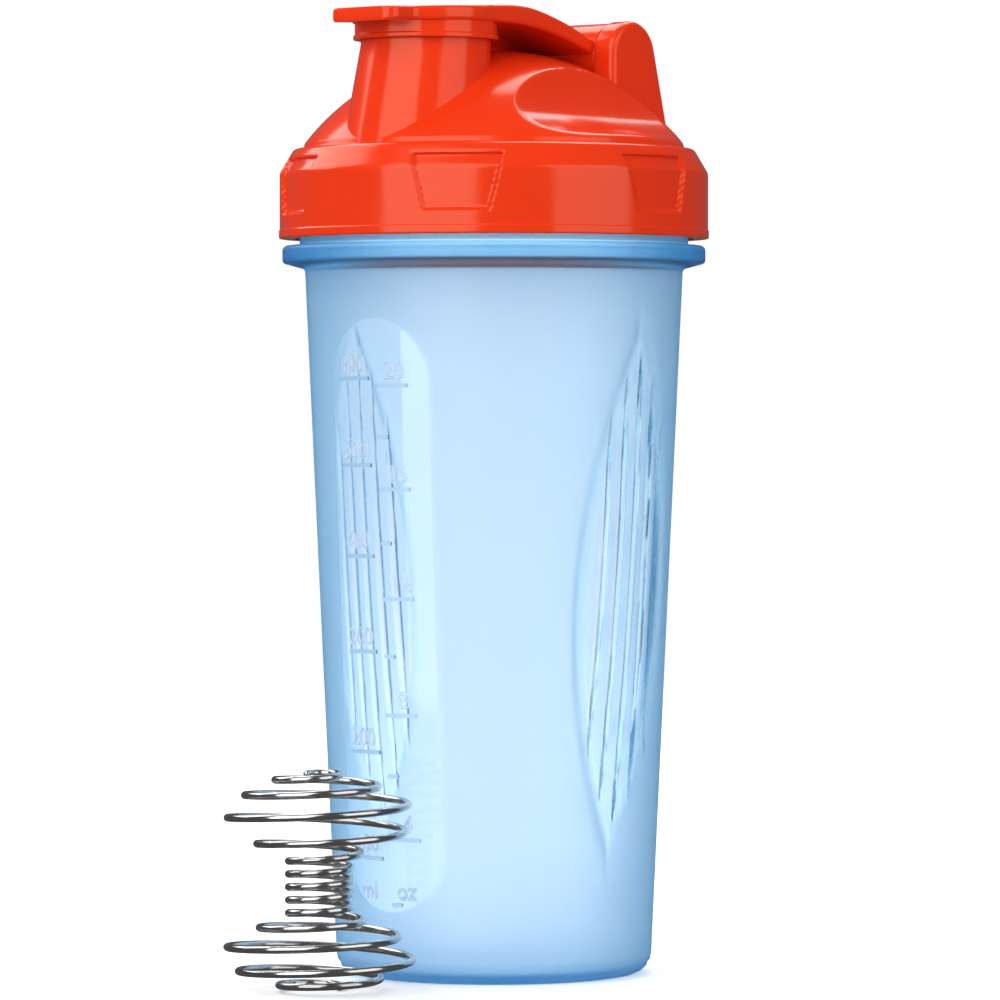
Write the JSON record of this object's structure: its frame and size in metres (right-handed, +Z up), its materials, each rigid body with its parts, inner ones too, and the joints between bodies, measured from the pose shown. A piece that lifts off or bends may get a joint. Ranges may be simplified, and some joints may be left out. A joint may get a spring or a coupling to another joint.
{
  "type": "shaker bottle",
  "caption": "Tapered shaker cup with a scale window and ribbed grips, a screw lid with a drinking spout and flip cap, a gasket, and a loose wire whisk ball beside it.",
  "frame": {"origin": "centre of the cup's flat base, on the surface it stands on", "axes": "+Z up along the cup's axis, -Y towards the drinking spout, +X towards one finger grip"},
  "size_m": [0.099, 0.1315, 0.2217],
  "materials": {
    "cup_plastic": "frosted translucent moulded polypropylene with a polished scale window",
    "lid_plastic": "glossy moulded polypropylene",
    "gasket_silicone": "translucent white silicone",
    "whisk_wire": "polished stainless steel wire"
  },
  "bodies": {
    "cup": {"cup": "cup_plastic"},
    "gasket": {"lid_gasket": "gasket_silicone"},
    "lid": {"screw_lid": "lid_plastic"},
    "cap": {"flip_cap": "lid_plastic"},
    "whisk": {"wire_whisk": "whisk_wire"}
  },
  "joints": [
    {"name": "lid_rise", "type": "slide", "parent": "cup", "child": "gasket", "axis": [0, 0, 1], "range_m": [0, 0.022]},
    {"name": "lid_turn", "type": "hinge", "parent": "gasket", "child": "lid", "pos_m": [0, 0, 0.18], "axis": [0, 0, 1], "range_deg": [0, 1080]},
    {"name": "cap_hinge", "type": "hinge", "parent": "lid", "child": "cap", "pos_m": [0, 0.024, 0.2113], "axis": [-1, 0, 0], "range_deg": [0, 190]},
    {"name": "whisk_slide", "type": "slide", "parent": "cup", "child": "whisk", "axis": [0, -1, 0], "range_m": [0, 0.1]}
  ],
  "couplings": [
    {"joint": "lid_rise", "follows": "lid_turn", "m_per_rad": 0.0011459}
  ]
}
